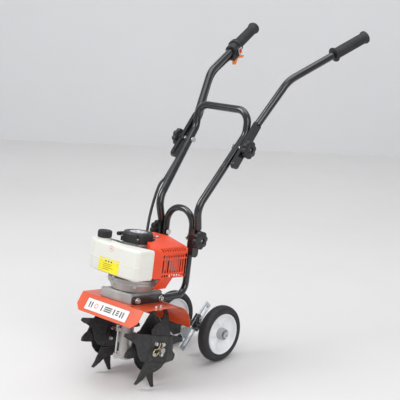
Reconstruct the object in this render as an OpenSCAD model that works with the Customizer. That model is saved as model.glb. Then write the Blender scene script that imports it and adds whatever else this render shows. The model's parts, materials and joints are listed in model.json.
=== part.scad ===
// Mini cultivator: a two-stroke engine drives two sets of tines through a worm
// gearbox, under a steel fender, with folding handles and two transport wheels.
// Front of the machine is -Y, up is +Z, and the machine's left side is +X.

/* [Stance] */
// Height of the tine axle above the ground
axle_z = 112.3; // [112:0.1:116]
// Place of the tine axle along the machine, from the middle of its length
axle_y = -331.0; // [-340:0.1:-330]
// Backward lean of the engine and gearbox
tilt = 8.57; // [7:0.01:10]

/* [Tines] */
// Radius swept by the tine tips
tine_r = 112; // [108:0.5:112]
// Distance of the inner tine discs from the centre line
inner_disc_x = 62; // [60:1:66]
// Distance of the outer tine discs from the centre line
outer_disc_x = 110; // [106:1:112]
// Thickness of the tine plate
tine_t = 3.5; // [3:0.5:4]
// Radius of the tine axle
tine_axle_r = 8; // [8:0.5:9]
// Half length of the tine axle
tine_axle_half = 128; // [126:1:132]

/* [Gearbox] */
// Distance from the worm shaft to the tine axle
worm_offset = 16; // [16:0.5:17]
// Outer radius of the worm shaft column
column_r = 18; // [18:0.5:20]
// Number of teeth on the worm wheel
wheel_teeth = 23; // [20:1:26]

/* [Fender] */
// Half width of the fender
fender_half = 119.7; // [116:0.1:122]
// Thickness of the fender sheet
fender_t = 2; // [1.5:0.5:2.5]
// Radius of the rear curve of the fender, outside
fender_r = 64; // [63:1:66]

/* [Base and lower loop] */
// Half width of the base block
base_half = 52; // [50:1:53]
// Height of the base block's underside above the tine axle
base_z = 116.6; // [116:0.1:118]
// Height of the base block
base_h = 27.7; // [26:0.1:29]
// Radius of the lower loop tube
loop_r = 9.5; // [9:0.5:10]
// Distance of the loop's upright legs from the centre line
loop_x = 50; // [49:1:51]
// Place of the loop's upright legs behind the tine axle
loop_y = 147; // [145:1:149]

/* [Handles] */
// Radius of the handle tubes
handle_r = 11; // [10.5:0.5:11]
// Wall thickness of all the frame tubes
tube_wall = 1.6; // [1.4:0.1:2]
// Radius of the pivot bolts
bolt_r = 4; // [4:0.5:4]
// Radius of a star knob over its lobes
knob_r = 27; // [25:1:29]
// Length of a rubber grip
grip_len = 133; // [125:1:135]

/* [Wheels] */
// Outer radius of the tyres
tyre_r = 83; // [82:0.5:83]
// Radius of the rim where the tyre sits
rim_r = 61.7; // [58:0.1:64]
// Distance of the tyre's outer face from the centre line
tyre_x = 112; // [110:1:114]
// Width of a tyre
tyre_w = 33; // [30:1:34]
// Place of the wheel axle behind the tine axle
wheel_y = 268.6; // [266:0.1:270]
// Radius of the wheel axle
wheel_axle_r = 5; // [5:0.5:5]

/* [Engine] */
// Radius of the recoil starter housing
starter_r = 42; // [40:1:43]
// Height of the tank's underside above the tine axle
tank_z = 191; // [190:1:194]
// Height of the tank
tank_h = 84; // [80:1:84]
// Half width of the tank on the cover's side
tank_half = 101; // [98:1:103]
// Half width of the tank on the cap's side
tank_far = 113; // [108:1:114]
// Radius of the fuel cap
cap_r = 20; // [18:1:22]
// Number of long cooling slots in the cylinder cover
slot_count = 10; // [8:1:10]

/* [Hidden] */
$fn = 64;

// How far a straight tube reaches into an elbow, and how much thicker the elbow is
elbow_overlap = 0.4;
elbow_step = 0.06;
// Running clearance of a shaft in its bore
run = 0.05;
// Heights of the gearbox and engine stack, above the tine axle
column_bottom = -52;
flange_bottom = 106.6;
fender_z = base_z - fender_t;
base_top = base_z + base_h;
clutch_z = base_top + 3;
case_z = clutch_z + 26;
shaft_y = -worm_offset;
barrel_r = 22;
barrel_half = 30;
worm_r = 4.2;
wheel_outer = worm_offset - worm_r - 0.3;
starter_z = 277;
starter_h = 29;
cylinder_z = 218;
// Fender outline
lip_fold = [-87.6, 113.6];
lip_edge = [-113, 69.6];
curve_mid = [44.5, base_z - fender_r];
// Handle pivots: [y, z]
low_pivot_z = 291;
low_pivot = [loop_y * cos(tilt) + low_pivot_z * sin(tilt),
  axle_z - loop_y * sin(tilt) + low_pivot_z * cos(tilt)];
loop_top = 368.5;
up_pivot = [330, 626];
leg_x = 66;
flat_t = 12;
mid_x = 92.2;
bar_x = 117;
// Middle section, one side: bottom end, start of the lean, top of the lean, corner
mid_foot = [leg_x, low_pivot[0] - 40 * sin(tilt), low_pivot[1] - 40 * cos(tilt)];
mid_neck = [leg_x + 5.2, low_pivot[0] + 30 * sin(tilt), low_pivot[1] + 30 * cos(tilt)];
mid_bend = [75, 186, 470];
mid_top = [96, 362, 661];
mid_corner = [96, 373, 727];
mid_lean = atan2(mid_top[2] - mid_bend[2], mid_top[1] - mid_bend[1]);
// Handlebar, one side: neck above the flattened end, bend, end of the tube
bar_neck = [bar_x, up_pivot[0] + 86 * cos(mid_lean), up_pivot[1] + 86 * sin(mid_lean)];
bar_foot = [up_pivot[0] - 55 * cos(mid_lean), up_pivot[1] - 55 * sin(mid_lean)];
bar_bend = [150, 482, 810];
bar_end = [216.2, 763.5, 925.7];
bar_dir = (bar_end - bar_bend) / norm(bar_end - bar_bend);
grip_start = bar_end - bar_dir * (grip_len - 3);
// Adjuster bar in the plane of the machine's middle: lower end, upper end
adjust_low = [206.9, 23.3];
adjust_len = 165;
adjust_w = 25;
adjust_t = 5;
adjust_angle = 44;
wheel_z = tyre_r;
bracket_bolt = [215, 87];
slot_half = 5.5;
// Free hole in the tail bracket for a drag stake's pin: [y, z] from the tine axle, and its radius
stake_hole = [150, 38];
stake_hole_r = 5;
// Tine disc: half side of its plate, lean of its blades, places of its bolts
plate_half = 38;
tine_lean = 20;
// Turn of the tine discs about their axle at rest
tine_phase = -9;
// Turn of the hairpin clips about the tine axle; the other side's clip is turned likewise
clip_turn = 48;
bolt_angles = [45 : 90 : 315];
fan_z = 253;
slot_pitch = 9.6;
cap_at = [-62, -82];
// Throttle cable, right side, as [distance from the middle, y, z]
cable_r = 4;
cable_points_upper = [[180.3, 611, 841.6], [168.8, 561.8, 824.5], [150, 494, 795], [117, 402.4, 678.2],
  [117, 292.6, 558.4]];
cable_points_middle = [[117, 292, 557.8], [110, 246, 518], [96, 203.5, 498.9]];
cable_points_lower = [[95.5, 201.2, 496.6], [93, 168, 425], [72, 132, 364], [50, 117, 347]];

// ---------- helpers ----------
function unit(v) = v / norm(v);
function bend_angle(p, i) = acos(min(1, unit(p[i] - p[i - 1]) * unit(p[i + 1] - p[i])));
function trim(p, radii, i) = (i == 0 || i == len(p) - 1) ? 0 : radii[i] * tan(bend_angle(p, i) / 2);

// Places children with their z axis from point a towards point b
module along(a, b) {
  d = unit(b - a);
  translate(a) rotate([0, acos(d[2]), atan2(d[1], d[0])]) children();
}

// Round section of a tube; a wall of 0 makes a solid rod
module ring(r, wall) {
  difference() {
    circle(r);
    if (wall > 0) circle(r - wall);
  }
}

// Tube through points p, with a bend radius at each inner point. Each elbow is a
// hair thicker than the straights, which reach a little way into it.
module bent_tube(p, radii, r, wall = 0) {
  for (i = [0 : len(p) - 2]) {
    d = unit(p[i + 1] - p[i]);
    a = p[i] + d * (trim(p, radii, i) - (i == 0 ? 0 : elbow_overlap));
    b = p[i + 1] - d * (trim(p, radii, i + 1) - (i == len(p) - 2 ? 0 : elbow_overlap));
    along(a, b) linear_extrude(norm(b - a)) ring(r, wall);
  }
  for (i = [1 : len(p) - 2]) {
    d1 = unit(p[i] - p[i - 1]);
    d2 = unit(p[i + 1] - p[i]);
    inward = unit(d2 - d1 * (d1 * d2));
    side = cross(d1, inward);
    start = p[i] - d1 * trim(p, radii, i);
    // turn the elbow so that its x axis points outwards and its y axis along d1
    turn = abs(inward[2]) > 0.9999 ? [0, 90 * sign(inward[2]), atan2(-d1[0], d1[1])] :
      [atan2(d1[2], side[2]), asin(inward[2]), atan2(-inward[1], -inward[0])];
    translate(start + inward * radii[i]) rotate(turn)
      rotate_extrude(angle = bend_angle(p, i)) translate([radii[i], 0])
        ring(r + elbow_step, wall > 0 ? wall + 2 * elbow_step : 0);
  }
}

// The same path with its mirror image joined on, for a frame that crosses the middle
function mirrored_path(p) = concat(p, [for (i = [len(p) - 1 : -1 : 0]) [-p[i][0], p[i][1], p[i][2]]]);
function mirrored_list(r) = concat(r, [for (i = [len(r) - 1 : -1 : 0]) r[i]]);

// Plate whose outline is drawn in (y, z), from x0 over a thickness
module plate_x(x0, thick) {
  translate([x0, 0, 0]) rotate([90, 0, 90]) linear_extrude(thick) children();
}

// Cylinder along x
module rod_x(r, x0, x1) {
  translate([x0, 0, 0]) rotate([0, 90, 0]) cylinder(r = r, h = x1 - x0);
}

// Both sides of the machine
module both_sides() {
  children();
  mirror([1, 0, 0]) children();
}

// Everything that stands on the ground, with y from the tine axle
module stand() {
  translate([0, axle_y, 0]) children();
}

// Everything that leans with the engine and gearbox, from the tine axle
module stance() {
  stand() translate([0, 0, axle_z]) rotate([-tilt, 0, 0]) children();
}

// The engine's upright shaft line
module shaft_line() {
  stance() translate([0, shaft_y, 0]) children();
}

// Hexagon head with a round washer under it, lying along +z
module hex_bolt(af, head, washer) {
  cylinder(r = washer, h = 1.6);
  translate([0, 0, 1.6]) cylinder(d = af / cos(30), h = head, $fn = 6);
}

// ---------- base, fender, gearbox ----------
module base_outline(inset) {
  polygon([[-base_half - 8 + inset, -76 + inset], [-8, -74 + inset], [base_half - inset, -68.5 + inset],
    [base_half - inset, 46 - inset], [42 - inset, 46 - inset], [42 - inset, 62 - inset],
    [inset - 42, 62 - inset], [inset - 42, 46 - inset], [-base_half + inset, 46 - inset],
    [-base_half + inset, -68],
    [-base_half - 8 + inset, -68]]);
}

module base_block() {
  color("darkgray") stance() difference() {
    union() {
      translate([0, 0, base_z]) linear_extrude(base_h - 3) base_outline(0);
      translate([0, 0, base_top - 3]) linear_extrude(3) base_outline(2);
    }
    translate([0, shaft_y, base_z - 1]) cylinder(r = 15, h = base_h + 2);
    for (y = [-52, 39], s = [-1, 1])
      translate([s * base_half, y, base_z + 11]) rotate([0, -s * 90, 0])
        translate([0, 0, -1]) cylinder(r = 4.1, h = 21);
  }
}

module socket_bolt_x(x, y, z) {
  translate([x, y, z]) rotate([0, 90, 0]) {
    cylinder(r = 8.5, h = 1.4);
    difference() {
      translate([0, 0, 1.4]) cylinder(r = 6, h = 6);
      translate([0, 0, 3.4]) cylinder(r = 3, h = 5, $fn = 6);
    }
    translate([0, 0, -22]) cylinder(r = 4, h = 22);
  }
}

module long_case_bolt() {
  translate([-18.5, shaft_y - 17, 0]) {
    translate([0, 0, column_bottom - 3]) cylinder(r = 3, h = 92.5);
    for (z = [column_bottom - 1.7, 33])
      translate([0, 0, z]) cylinder(r = 7, h = 1.6);
    translate([0, 0, column_bottom - 6.5]) cylinder(d = 11.5, h = 4.8, $fn = 6);
    translate([0, 0, 34.6]) cylinder(d = 11.5, h = 5, $fn = 6);
  }
}

module chassis_bolts() {
  color("silver") {
    stance() both_sides() for (y = [-52, 39]) socket_bolt_x(base_half + 8.1, y, base_z + 11);
    stance() for (y = [-22, -5]) translate([104, y, base_z]) {
      hex_bolt(8, 4, 5);
      translate([0, 0, -8]) cylinder(r = 3, h = 8.2);
      translate([0, 0, -fender_t - 5.1]) cylinder(d = 9, h = 5, $fn = 6);
    }
    stance() for (x = [-14.5, 14.5]) translate([x, 67.2, base_z + 14]) rotate([-90, 0, 0])
      hex_bolt(8, 4.5, 4.5);
    stance() long_case_bolt();
    stance() both_sides() translate([0, loop_y, low_pivot_z]) {
      translate([loop_x - loop_r - 5, 0, 0]) rotate([0, 90, 0]) cylinder(r = 8, h = 5);
      rod_x(bolt_r, loop_x - loop_r - 0.1, leg_x + 26);
    }
    stand() translate([0, bracket_bolt[0], bracket_bolt[1]]) {
      translate([adjust_t / 2 + 0.1, 0, 0]) rotate([0, 90, 0]) hex_bolt(13, 6, 9);
      translate([-adjust_t / 2 - 5.3, 0, 0]) rotate([0, -90, 0]) hex_bolt(13, 6, 9);
      rod_x(4, -adjust_t / 2 - 5.5, adjust_t / 2 + 0.3);
    }
  }
}

// Top sheet and rear curve of the fender in (y, z)
module fender_profile() {
  polygon([lip_fold, lip_fold + [1.5, 3], [curve_mid[0], base_z], [curve_mid[0], fender_z],
    [lip_fold[0] + 2.5, fender_z]]);
  intersection() {
    translate(curve_mid) difference() {
      circle(fender_r - 0.06);
      circle(fender_r - fender_t + 0.06);
    }
    translate([curve_mid[0] - 1.2, curve_mid[1] - 1]) square([fender_r + 2, fender_r + 2]);
  }
}

// Front lip with chamfered lower corners, hanging from the fold
module fender_lip() {
  drop = lip_edge - lip_fold;
  corner = 17;
  translate([0, lip_fold[0], lip_fold[1]]) rotate([atan2(drop[1], drop[0]), 0, 0])
    translate([0, -1, 0]) linear_extrude(fender_t) polygon([[-fender_half, 0], [fender_half, 0],
      [fender_half, norm(drop) + 1 - corner], [fender_half - corner, norm(drop) + 1],
      [corner - fender_half, norm(drop) + 1], [-fender_half, norm(drop) + 1 - corner]]);
}

module fender() {
  color("orangered") stance() difference() {
    union() {
      plate_x(-fender_half, 2 * fender_half) fender_profile();
      fender_lip();
    }
    translate([0, shaft_y, base_z - 5]) cylinder(r = 16, h = 10);
    for (y = [-22, -5]) translate([104, y, base_z - 5]) cylinder(r = 3.1, h = 10);
  }
}

module gear_case() {
  color("dimgray") stance() difference() {
    union() {
      translate([0, shaft_y, column_bottom]) cylinder(r = column_r, h = flange_bottom - column_bottom);
      rod_x(barrel_r, -barrel_half, barrel_half);
      translate([0, shaft_y, flange_bottom]) cylinder(r = 32, h = fender_z - flange_bottom);
      translate([0, shaft_y, column_bottom]) cylinder(r = column_r + 3, h = 7);
      // lugs for the long bolt
      for (z = [column_bottom, 22]) hull() {
        translate([-18.5, shaft_y - 17, z]) cylinder(r = 7, h = 10.9, $fn = 32);
        translate([-6, shaft_y - 6, z]) cylinder(r = 8, h = 10.9, $fn = 32);
      }
    }
    translate([0, shaft_y, column_bottom + 5]) cylinder(r = 11, h = 200);
    translate([0, shaft_y, flange_bottom - 8]) cylinder(r = 13, h = 20);
    rod_x(wheel_outer + 1.2, -9, 9);
    rod_x(15, -barrel_half - 1, -barrel_half + 10);
    rod_x(15, barrel_half - 10, barrel_half + 1);
    rod_x(tine_axle_r + 1, -barrel_half, barrel_half);
    translate([-18.5, shaft_y - 17, column_bottom - 1]) cylinder(r = 3.05, h = 90);
  }
}

// Plain bearings of the tine axle, and two ball bearings of the worm shaft as rings
module gearbox_bearings() {
  color("goldenrod") stance() {
    both_sides() difference() {
      rod_x(15, barrel_half - 10, barrel_half);
      rod_x(tine_axle_r + run, barrel_half - 11, barrel_half + 1);
    }
    translate([0, shaft_y, 0]) {
      bearing_ring(11, column_bottom + 5, 9);
      bearing_ring(13, flange_bottom - 8, 12);
    }
  }
}

module bearing_ring(r, z, h) {
  difference() {
    translate([0, 0, z]) cylinder(r = r, h = h);
    translate([0, 0, z - 1]) cylinder(r = 5 + run, h = h + 2);
  }
}

module worm_shaft() {
  color("gray") shaft_line() {
    translate([0, 0, column_bottom + 5.5]) cylinder(r = 5, h = 26);
    translate([0, 0, column_bottom + 31]) cylinder(r = worm_r, h = 42);
    translate([0, 0, column_bottom + 73]) cylinder(r = 5, h = clutch_z + 4 - column_bottom - 73);
  }
}

module clutch_drum() {
  color("slategray") shaft_line() difference() {
    translate([0, 0, clutch_z + 4]) cylinder(r = 39, h = 20);
    translate([0, 0, clutch_z + 7]) cylinder(r = 36, h = 20);
  }
}

// Toothed wheel on the tine axle; the worm's thread runs in its tooth gaps
module worm_wheel() {
  color("peru") stance() difference() {
    rod_x(wheel_outer, -6, 6);
    rod_x(tine_axle_r, -7, 7);
    for (i = [0 : wheel_teeth - 1]) rotate([i * 360 / wheel_teeth, 0, 0])
      translate([0, 0, wheel_outer]) cube([20, 0.9, 1.8], center = true);
  }
}

// ---------- tines ----------
module tine_axle() {
  color("gray") stance() difference() {
    rod_x(tine_axle_r, -tine_axle_half, tine_axle_half);
    for (turn = [0, 180]) rotate([0, 0, turn]) translate([outer_disc_x + 8, 0, 0])
      rotate([clip_turn - 90, 0, 0]) translate([0, 0, -20]) cylinder(r = 1.7, h = 40);
  }
}

module tine_hubs() {
  color("#2a2a2a") stance() rotate([tine_phase, 0, 0]) both_sides() difference() {
    union() {
      rod_x(13, barrel_half + 4, outer_disc_x + 4);
      rod_x(27, inner_disc_x + tine_t, inner_disc_x + tine_t + 4);
      rod_x(27, outer_disc_x - tine_t - 4, outer_disc_x - tine_t);
    }
    rod_x(tine_axle_r, barrel_half, outer_disc_x + 5);
    for (a = bolt_angles) rotate([a, 0, 0]) translate([0, 20, 0]) rod_x(3.1, inner_disc_x, outer_disc_x);
  }
}

// One blade's flat outline: a broad root at the plate and a hooked tooth at one corner
module blade_outline() {
  polygon([[38, -2], [38, 8], [36, 40], [34, 57], [14, 59], [6, 42], [-8, 35], [-24, 27], [-36, 14],
    [-38, -2]]);
}

// The tooth's tip beyond its own bend
module tip_outline() {
  polygon([[34, -1], [14, -1], [18, 14], [25, 27], [30, 27]]);
}

// Tine disc in the plane x = 0: a square plate with four folded blades that lean towards -x
module tine_disc() {
  difference() {
    translate([-tine_t, -plate_half, -plate_half]) cube([tine_t, 2 * plate_half, 2 * plate_half]);
    rod_x(13.1, -tine_t - 1, 1);
    for (a = bolt_angles) rotate([a, 0, 0]) translate([0, 20, 0]) rod_x(3.1, -tine_t - 1, 1);
  }
  intersection() {
    for (a = [0 : 90 : 270]) rotate([a, 0, 0]) translate([-tine_t / 2, 0, plate_half - 0.6])
      rotate([0, -tine_lean, 0]) {
        plate_x(-tine_t / 2, tine_t) blade_outline();
        translate([0, 0, 57.5]) rotate([0, -12, 0]) plate_x(-tine_t / 2, tine_t) tip_outline();
      }
    rod_x(tine_r, -70, 20);
  }
}

// A disc turned over, so that its blades lean the other way
module turned_over() {
  rotate([0, 0, 180]) children();
}

module tine_left() {
  color("#1c1c1c") stance() rotate([tine_phase, 0, 0]) {
    translate([outer_disc_x, 0, 0]) tine_disc();
    translate([inner_disc_x, 0, 0]) turned_over() tine_disc();
  }
}

module tine_right() {
  color("#1c1c1c") stance() rotate([tine_phase, 0, 0]) {
    translate([-outer_disc_x, 0, 0]) turned_over() tine_disc();
    translate([-inner_disc_x, 0, 0]) tine_disc();
  }
}

// Bolt through a disc and its hub flange, head on the side that the disc faces
module disc_bolts() {
  for (a = bolt_angles) rotate([a, 0, 0]) translate([0, 20, 0]) {
    rod_x(3, -tine_t - 4.2, 0.1);
    rotate([0, 90, 0]) hex_bolt(9, 4, 5.5);
    translate([-tine_t - 4, 0, 0]) rotate([0, -90, 0]) cylinder(d = 11, h = 5, $fn = 6);
  }
}

module tine_bolts() {
  color("silver") stance() rotate([tine_phase, 0, 0]) for (turn = [0, 180]) rotate([0, 0, turn]) {
    translate([outer_disc_x, 0, 0]) disc_bolts();
    translate([inner_disc_x, 0, 0]) turned_over() disc_bolts();
  }
}

// Spring clip through the axle's end: a straight leg, a round bow and a waved leg
module hairpin_clips() {
  color("goldenrod") stance() for (turn = [0, 180]) rotate([0, 0, turn])
    translate([outer_disc_x + 8, 0, 0]) rotate([clip_turn, 0, 0]) bent_tube([[0, 15, 0], [0, -14, 0],
      [0, -25, 4], [0, -25, 17], [0, -12, 19], [0, -4, 9.9], [0, 4, 9.9], [0, 13, 15]],
      [0, 3, 5, 5, 4, 3, 3, 0], 1.5);
}

// ---------- engine ----------
module clutch_housing() {
  color("silver") shaft_line() difference() {
    union() {
      translate([0, 0, base_top]) cylinder(r = 50, h = 3);
      translate([0, 0, clutch_z]) cylinder(r1 = 57, r2 = 66, h = 18);
      translate([0, 0, clutch_z + 18]) cylinder(r = 69, h = 8);
      for (a = [20 : 60 : 320]) rotate([0, 0, a]) translate([64, 0, clutch_z + 12])
        cylinder(r = 6.5, h = 14);
    }
    translate([0, 0, clutch_z + 3]) cylinder(r = 41, h = 40);
    translate([0, 0, base_top - 1]) cylinder(r = 5.4, h = 20);
    for (a = [20 : 60 : 320]) rotate([0, 0, a]) translate([64, 0, clutch_z + 13.5])
      cylinder(r = 2.6, h = 40);
  }
}

// Crankcase: a flange over the clutch, the crank chamber, the cylinder face and the fan ring
module crankcase() {
  color("silver") shaft_line() difference() {
    union() {
      translate([0, 0, case_z]) cylinder(r = 69, h = 7);
      translate([0, 0, case_z + 6]) cylinder(r = 40, h = fan_z + 1 - case_z - 6);
      translate([-30, 20, case_z + 14]) cube([60, 28, 60]);
      translate([0, 0, fan_z]) cylinder(r = 41, h = starter_z - fan_z);
    }
    translate([0, 0, case_z + 10]) cylinder(r = 31, h = 55);
    translate([0, 0, fan_z + 3]) cylinder(r = 36, h = 40);
    translate([0, 0, case_z - 1]) cylinder(r = 6.1, h = 90);
    translate([0, 30, cylinder_z]) rotate([-90, 0, 0]) cylinder(r = 21, h = 30);
    translate([0, 0, cylinder_z]) rotate([-90, 0, 0]) cylinder(r = 21, h = 40);
    for (a = [20 : 60 : 320]) rotate([0, 0, a]) translate([64, 0, case_z - 1])
      cylinder(r = 2.6, h = 10);
    // cooling windows of the fan ring
    for (a = [200 : 20 : 340]) rotate([0, 0, a]) translate([30, -3, fan_z + 5]) cube([20, 6, 12]);
  }
}

// Crankshaft with two webs and a pin, in bearings at both ends of the chamber
module crankshaft() {
  color("gray") shaft_line() {
    translate([0, 0, clutch_z + 8]) cylinder(r = 6, h = cylinder_z - 14 - clutch_z - 8);
    translate([0, 0, cylinder_z + 14]) cylinder(r = 6, h = 43);
    for (z = [cylinder_z - 16, cylinder_z + 8]) translate([0, 0, z]) difference() {
      cylinder(r = 26, h = 8);
      translate([-30, 8, -1]) cube([60, 30, 10]);
    }
    translate([0, -14, cylinder_z - 9]) cylinder(r = 5, h = 18);
  }
}

// Two shoes that fly outwards against the drum, held by a spring ring
module clutch_shoes() {
  color("#4a4038") shaft_line() translate([0, 0, clutch_z + 9]) {
    difference() {
      cylinder(r = 33, h = 14);
      translate([0, 0, -1]) cylinder(r = 12, h = 16);
      translate([-2, -40, -1]) cube([4, 80, 16]);
    }
    difference() {
      translate([0, 0, 3]) cylinder(r = 12.5, h = 8);
      translate([0, 0, -1]) cylinder(r = 6, h = 16);
    }
  }
}

module flywheel() {
  color("silver") shaft_line() difference() {
    union() {
      translate([0, 0, fan_z + 6]) cylinder(r = 33, h = 5);
      translate([0, 0, fan_z + 6]) cylinder(r = 14, h = 13);
      for (a = [0 : 30 : 330]) rotate([0, 0, a]) translate([13, -1, fan_z + 10]) cube([19, 2, 8]);
    }
    translate([0, 0, fan_z]) cylinder(r = 6.05, h = 30);
  }
}

module cylinder_block() {
  color("silver") stance() difference() {
    union() {
      translate([0, 32, cylinder_z]) rotate([-90, 0, 0]) cylinder(r = 25, h = 52);
      for (i = [0 : 6]) translate([-31, 37 + i * 6.6, cylinder_z - 28]) cube([62, 2.4, 56]);
      translate([-34, 47, cylinder_z - 12]) cube([68, 21.5, 24]);
    }
    translate([0, 20, cylinder_z]) rotate([-90, 0, 0]) cylinder(r = 20.1, h = 58);
    translate([0, 30, cylinder_z]) rotate([-90, 0, 0]) cylinder(r = 5.1, h = 60);
  }
}

// Piston at the bottom of its stroke, with its rod opened at the crank pin
module piston() {
  color("lightgray") stance() difference() {
    union() {
      translate([0, 30, cylinder_z]) rotate([-90, 0, 0]) cylinder(r = 20, h = 20);
      translate([-5, 8, cylinder_z - 3.5]) cube([10, 30, 7]);
    }
    translate([0, 29, cylinder_z]) rotate([-90, 0, 0]) difference() {
      cylinder(r = 16.5, h = 17);
      translate([-5, -3.5, -1]) cube([10, 7, 30]);
    }
  }
}

module spark_plug_boot() {
  color("#222222") stance() translate([0, 78, cylinder_z]) rotate([-90, 0, 0]) {
    cylinder(r = 5, h = 8);
    translate([0, 0, 6.2]) cylinder(r = 9, h = 5, $fn = 6);
    translate([0, 0, 11.2]) cylinder(r = 7.5, h = 10);
  }
}

module muffler() {
  color("lightgray") stance() difference() {
    union() {
      translate([48, 2, 204]) cube([46, 66, 52]);
      translate([34.1, 49, cylinder_z - 10]) cube([15, 18, 20]);
    }
    translate([50, 4, 206]) cube([42, 62, 48]);
  }
}

// Cover outline seen from above, pulled in by an inset
module cover_plan(inset) {
  polygon([[-20, -6 + inset], [40, -22 + inset], [79 - inset / 2, -46 + inset], [88 - inset, -46 + inset],
    [105 - inset, -24], [105 - inset, 76 - inset / 2], [96 - inset / 2, 88 - inset], [-38 + inset, 88 - inset],
    [-38 + inset, -6 + inset]]);
}

// Cover outline seen from the front, pulled in by an inset
module cover_front(inset) {
  polygon([[-40, 186 - inset], [105, 196 - inset], [105, 264 - inset], [98 - inset / 2, 273 - inset],
    [84, 279 - inset], [20, 293 - inset], [-40, 293 - inset]]);
}

module cover_block(inset) {
  intersection() {
    translate([0, 0, 150]) linear_extrude(160) cover_plan(inset);
    translate([0, 120, 0]) rotate([90, 0, 0]) linear_extrude(200) cover_front(inset);
  }
}

module cylinder_cover() {
  color("orangered") stance() difference() {
    union() {
      difference() {
        cover_block(0);
        cover_block(2.5);
        // open towards the crankcase, the starter and the ground
        translate([0, shaft_y, 150]) cylinder(r = starter_r + 6, h = 200);
        translate([-60, -60, 150]) cube([160, 200, 45]);
        translate([-50, -10, 180]) cube([20, 90, 90]);
      }
      cover_tip();
    }
    // long slots, short slots below and above them, and slots through the sloping top
    for (i = [0 : slot_count - 1]) translate([98, -16 + i * slot_pitch, 0]) {
      translate([0, 0, 211]) cube([10, 5.2, 36]);
      translate([0, 0, 199.5]) cube([10, 5.2, 6]);
      translate([0, 0, 252]) cube([10, 5.2, 8]);
      translate([-9, 0, 264]) cube([12, 5.2, 20]);
    }
    translate([0, 70, cylinder_z]) rotate([-90, 0, 0]) cylinder(r = 15, h = 40);
    translate([21, 38, 280]) cylinder(r = 2.1, h = 20);
  }
}

// Tapered lower end of the cover, towards the base
module cover_tip() {
  difference() {
    tip_block();
    translate([-2.5, 0, 3]) tip_block();
  }
}

module tip_block() {
  translate([0, 32, 0]) rotate([90, 0, 0]) linear_extrude(48)
    polygon([[75, 160], [80, 160], [104, 198], [75, 198]]);
}

module carburetor() {
  color("gray") stance() difference() {
    union() {
      translate([-62, 42, cylinder_z - 16]) cube([28, 32, 34]);
      translate([-48, 58, cylinder_z + 18]) cylinder(r = 7, h = 10);
    }
    translate([-70, 58, cylinder_z]) rotate([0, 90, 0]) cylinder(r = 7.5, h = 50);
  }
}

module air_filter_box() {
  color("#202020") stance() difference() {
    translate([-72, 4, cylinder_z - 26]) cube([10, 74, 60]);
    translate([-80, 58, cylinder_z]) rotate([0, 90, 0]) cylinder(r = 7.5, h = 50);
  }
}

module air_filter_cover() {
  color("orangered") stance() difference() {
    translate([-96, 0, cylinder_z - 30]) cube([24, 82, 68]);
    translate([-93, 3, cylinder_z - 27]) cube([30, 76, 62]);
  }
}

module choke_lever() {
  color("#202020") stance() translate([-66, 0, cylinder_z + 40.5]) {
    translate([0, 20, -6]) cylinder(r = 3, h = 8);
    translate([-3, 16, 2]) cube([6, 30, 3]);
  }
}

module starter_housing() {
  color("#1c1c1c") shaft_line() {
    difference() {
      union() {
        translate([0, 0, starter_z]) cylinder(r = starter_r, h = starter_h - 5);
        translate([0, 0, starter_z + starter_h - 5]) cylinder(r1 = starter_r, r2 = starter_r - 4, h = 5);
        for (a = [45 : 90 : 315]) rotate([0, 0, a]) translate([starter_r, 0, starter_z])
          cylinder(r = 4.8, h = 12);
      }
      translate([0, 0, starter_z - 1]) cylinder(r = starter_r - 3, h = starter_h - 2.5);
      for (a = [45 : 90 : 315]) rotate([0, 0, a]) translate([starter_r + 1.6, 0, starter_z]) {
        translate([0, 0, -1]) cylinder(r = 1.9, h = 14);
        translate([0, 0, 11.5]) cylinder(r = 3.2, h = 20);
      }
      // rope eyelet
      translate([0, -17, starter_z + 15]) rotate([0, -90, 0]) cylinder(r = 2.6, h = 60);
      // seat of the round plate on top
      translate([0, 0, starter_z + starter_h - 1.2]) cylinder(r = 25, h = 5);
    }
    // post that carries the pulley
    translate([0, 0, starter_z + 8]) cylinder(r = 4, h = starter_h - 10);
  }
}

module starter_pulley() {
  color("ivory") shaft_line() difference() {
    union() {
      translate([0, 0, starter_z + 11]) cylinder(r = 19, h = 2);
      translate([0, 0, starter_z + 11]) cylinder(r = 15.2, h = 8);
      translate([0, 0, starter_z + 17]) cylinder(r = 19, h = 2);
    }
    translate([0, 0, starter_z]) cylinder(r = 4 + run, h = 30);
  }
}

module starter_grip() {
  color("#1c1c1c") shaft_line() translate([0, -17, starter_z + 15]) {
    rod_x(1.5, -44, -2);
    translate([-53, 0, 0]) rotate([0, 90, 0]) cylinder(r = 4, h = 10);
    translate([-50, -12, 0]) rotate([-90, 0, 0]) cylinder(r = 5.5, h = 24);
  }
}

module engine_screws() {
  color("silver") {
    shaft_line() {
      for (a = [20 : 60 : 320]) rotate([0, 0, a]) translate([64, 0, 0]) {
        translate([0, 0, clutch_z + 14]) cylinder(r = 2.5, h = 20);
        translate([0, 0, case_z + 7]) cylinder(r = 5, h = 4);
      }
      for (a = [45 : 90 : 315]) rotate([0, 0, a]) translate([starter_r + 1.6, 0, 0]) {
        translate([0, 0, starter_z + 11.6]) cylinder(r = 3, h = 3);
        translate([0, 0, starter_z + 2]) cylinder(r = 1.8, h = 11);
      }
    }
    stance() translate([21, 38, 293]) {
      cylinder(r = 6.5, h = 1.4);
      translate([0, 0, 1.2]) cylinder(r = 4, h = 3);
      translate([0, 0, -7]) cylinder(r = 2, h = 8);
    }
  }
}

// Tank outline seen from above, with chamfered front corners and a bay for the engine
module tank_plan(inset) {
  difference() {
    polygon([[-tank_far + inset, -46.6 - inset], [-tank_far + inset, -86 + inset / 2],
      [-tank_far + 42 + inset / 2, -106 + inset], [tank_half - 10 - inset / 2, -111 + inset],
      [tank_half - inset, -101 + inset / 2], [tank_half - inset, -46.6 - inset]]);
    translate([0, shaft_y]) circle(starter_r + 8 + inset);
  }
}

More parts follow.
